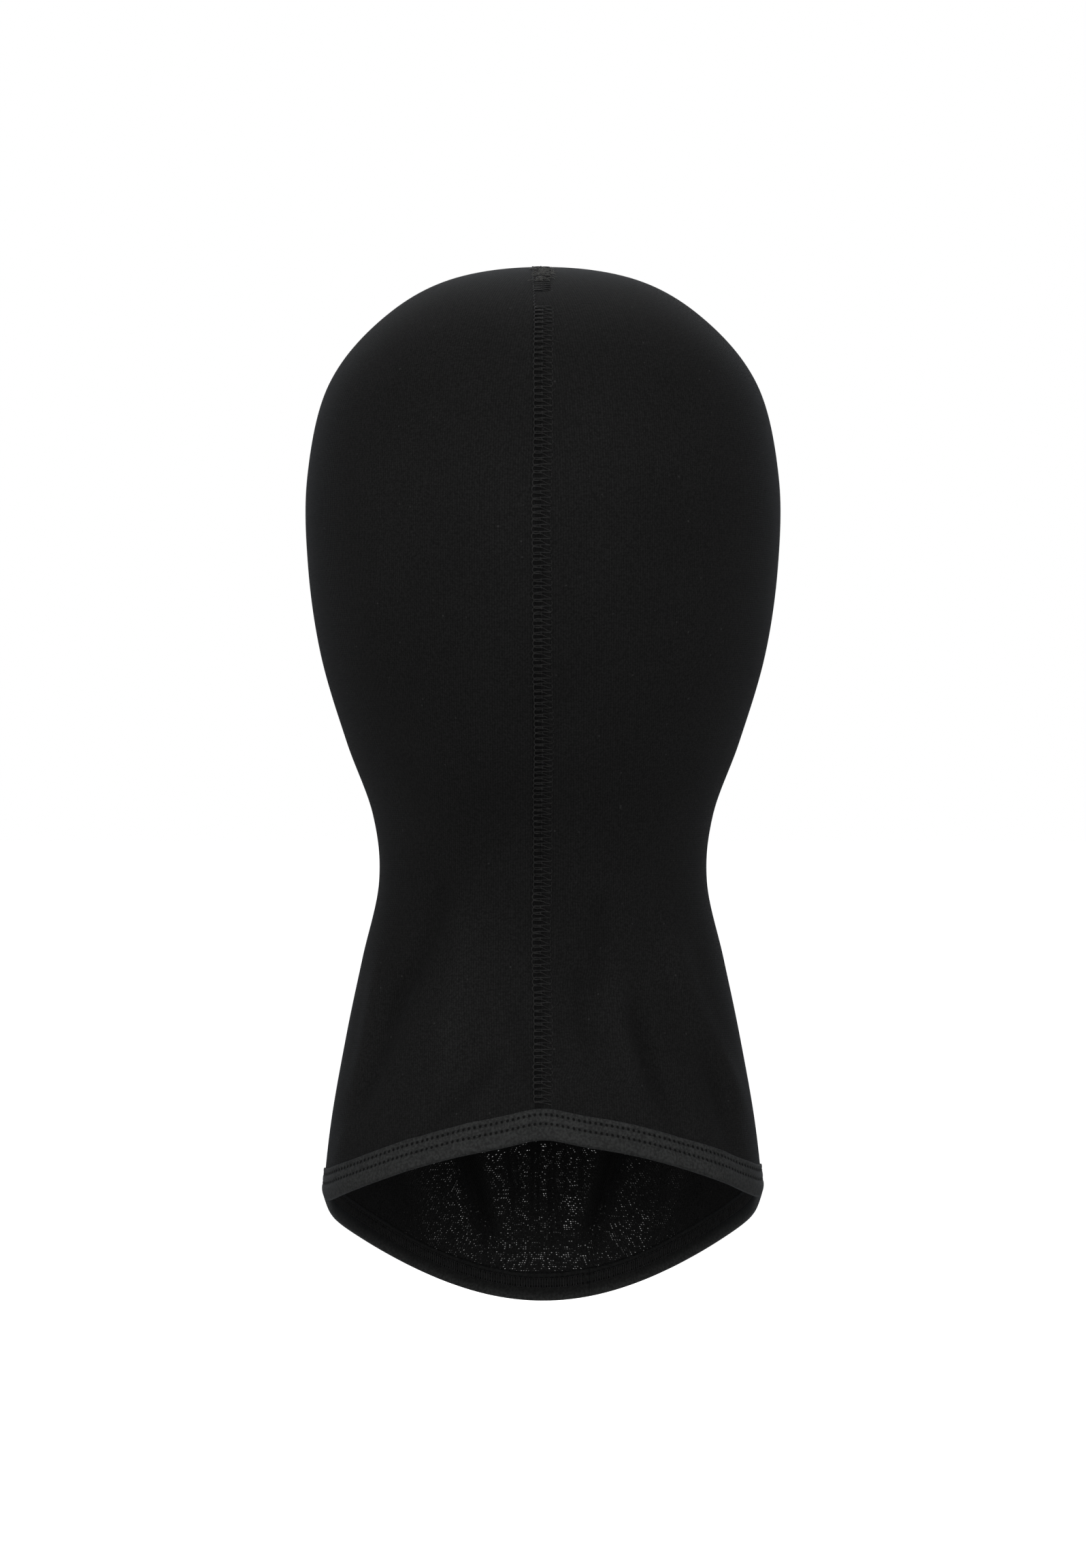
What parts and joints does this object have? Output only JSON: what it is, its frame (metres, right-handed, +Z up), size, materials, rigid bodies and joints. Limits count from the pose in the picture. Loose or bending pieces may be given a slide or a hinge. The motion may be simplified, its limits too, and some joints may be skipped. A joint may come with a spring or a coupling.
{
  "type": "balaclava",
  "caption": "Thin close-fitting knit balaclava in its worn shape, with an oval face opening, a flatlock seam over the crown and a bound neck hem.",
  "frame": {"origin": "where the inside of the crown rests on the top of the head", "axes": "+Z up, the wearer faces -Y, +X to the wearer's left"},
  "size_m": [0.1542, 0.2001, 0.3453],
  "materials": {
    "knit": "matt black single jersey",
    "binding": "dark grey folded elastic, softly satin",
    "thread": "black textured sewing thread",
    "label": "blank woven satin"
  },
  "bodies": {
    "root": {"hood_body": "knit", "hem_binding": "binding", "hem_stitch_upper": "thread", "hem_stitch_lower": "thread", "hem_looper_thread": "thread", "hem_bartack": "thread", "face_binding": "binding", "face_stitch_outer": "thread", "face_stitch_inner": "thread", "face_looper_thread": "thread", "face_bartack": "thread", "back_seam_cover_thread": "thread", "back_seam_looper_thread": "thread", "care_label": "label"}
  },
  "joints": []
}
